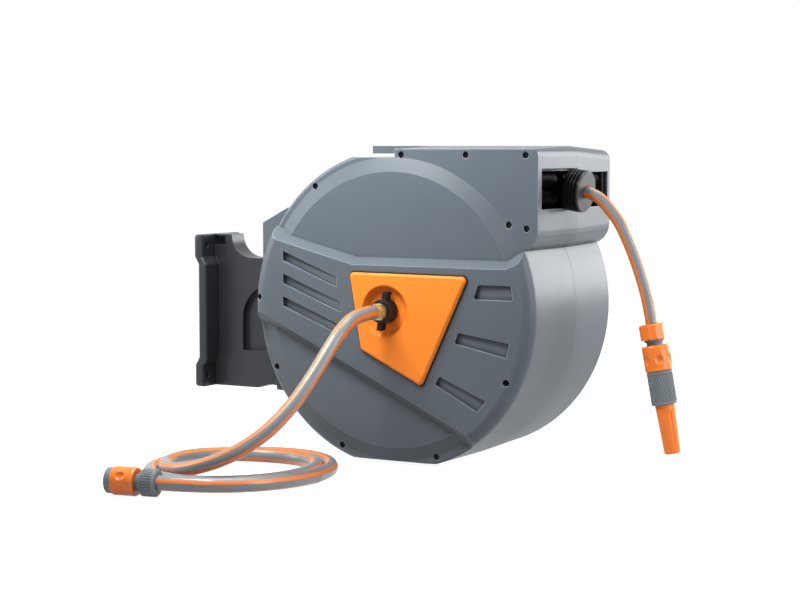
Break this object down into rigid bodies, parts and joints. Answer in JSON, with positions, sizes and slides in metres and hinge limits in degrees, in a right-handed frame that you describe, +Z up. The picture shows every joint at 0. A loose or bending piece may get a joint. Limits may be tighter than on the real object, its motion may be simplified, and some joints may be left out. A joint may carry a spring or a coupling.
{
  "type": "hose reel",
  "caption": "Wall mounted garden hose reel: a round casing swings on a hinge bracket, with a spring drum inside, a leader hose at the inlet and a roller window for the working hose.",
  "frame": {"origin": "on the wall, at the middle of the bracket's back and of its four screw holes", "axes": "+X away from the wall, +Z up, -Y towards the side with the water inlet"},
  "size_m": [0.6748, 0.5705, 0.3845],
  "materials": {
    "bracket_plastic": "satin black, fine texture",
    "dark_steel": "black",
    "steel": "plain",
    "casing_plastic": "satin slate grey",
    "orange_plastic": "satin orange",
    "black_plastic": "satin black",
    "seal_rubber": "matt",
    "brass": "plain",
    "drum_plastic": "matt dark grey",
    "hose_grey": "clear grey jacket with orange stripes",
    "grey_plastic": "satin mid grey"
  },
  "bodies": {
    "bracket": {"wall_bracket": "bracket_plastic", "pivot_rod": "dark_steel", "lock_pin": "dark_steel"},
    "reel": {"hinge_block": "casing_plastic", "pivot_bushes": "steel", "front_shell": "casing_plastic", "rear_shell": "casing_plastic", "shell_screws": "dark_steel", "inlet_panel": "orange_plastic", "axle_tube": "steel", "axle_seals": "seal_rubber", "inlet_fitting": "brass", "spring_arbor": "steel", "pawl_pin": "steel", "pawl_spring": "steel", "outlet_frame": "black_plastic", "roller_pins": "steel", "outlet_hose": "hose_grey", "hose_stop": "black_plastic", "stop_disc": "grey_plastic", "hose_nut": "orange_plastic", "coupler_body": "grey_plastic", "nozzle_sleeve": "grey_plastic", "leader_hose": "hose_grey", "leader_nut": "grey_plastic", "leader_body": "grey_plastic"},
    "drum": {"drum_hub": "drum_plastic", "drum_flange_front": "drum_plastic", "drum_flange_rear": "drum_plastic", "drum_bushes": "steel", "hose_winding": "hose_grey", "swivel_body": "brass", "spring_case": "drum_plastic", "spring_cover": "drum_plastic", "mainspring": "steel", "ratchet_wheel": "steel"},
    "pawl": {"pawl": "steel"},
    "upper_roller": {"upper_roller": "black_plastic"},
    "lower_roller": {"lower_roller": "black_plastic"},
    "front_roller": {"front_roller": "black_plastic"},
    "rear_roller": {"rear_roller": "black_plastic"},
    "wing_nut": {"wing_nut": "black_plastic"},
    "coupler_collar": {"coupler_collar": "orange_plastic"},
    "nozzle_tip": {"nozzle_tip": "orange_plastic"},
    "leader_collar": {"leader_collar": "orange_plastic"}
  },
  "joints": [
    {"name": "reel_swivel", "type": "hinge", "parent": "bracket", "child": "reel", "pos_m": [0.115, 0, 0], "axis": [0, 0, 1], "range_deg": [-75, 75]},
    {"name": "drum_spin", "type": "hinge", "parent": "reel", "child": "drum", "pos_m": [0.337, 0, 0.019], "axis": [0, 1, 0], "continuous": true},
    {"name": "pawl_tip", "type": "hinge", "parent": "reel", "child": "pawl", "pos_m": [0.25055, -0.089, 0.05047], "axis": [0, -1, 0], "range_deg": [0, 15], "stiffness_Nm_per_rad": 0.05},
    {"name": "upper_roller_spin", "type": "hinge", "parent": "reel", "child": "upper_roller", "pos_m": [0.5094, 0, 0.1758], "axis": [0, 1, 0], "continuous": true},
    {"name": "lower_roller_spin", "type": "hinge", "parent": "reel", "child": "lower_roller", "pos_m": [0.5094, 0, 0.1542], "axis": [0, 1, 0], "continuous": true},
    {"name": "front_roller_spin", "type": "hinge", "parent": "reel", "child": "front_roller", "pos_m": [0.4835, -0.0845, 0.165], "axis": [0, 0, 1], "continuous": true},
    {"name": "rear_roller_spin", "type": "hinge", "parent": "reel", "child": "rear_roller", "pos_m": [0.4835, 0.0785, 0.165], "axis": [0, 0, 1], "continuous": true},
    {"name": "wing_nut_turn", "type": "hinge", "parent": "reel", "child": "wing_nut", "pos_m": [0.337, -0.13, 0.019], "axis": [0, 1, 0], "continuous": true},
    {"name": "coupler_release", "type": "slide", "parent": "reel", "child": "coupler_collar", "axis": [-0.1822, 0, 0.9833], "range_m": [0, 0.0035], "stiffness_N_per_m": 600},
    {"name": "nozzle_twist", "type": "hinge", "parent": "reel", "child": "nozzle_tip", "pos_m": [0.638, -0.0275, 0.009], "axis": [0.1822, 0, -0.9833], "range_deg": [-90, 180]},
    {"name": "tap_release", "type": "slide", "parent": "reel", "child": "leader_collar", "axis": [0.9826, 0.1857, 0], "range_m": [0, 0.0035], "stiffness_N_per_m": 600}
  ]
}
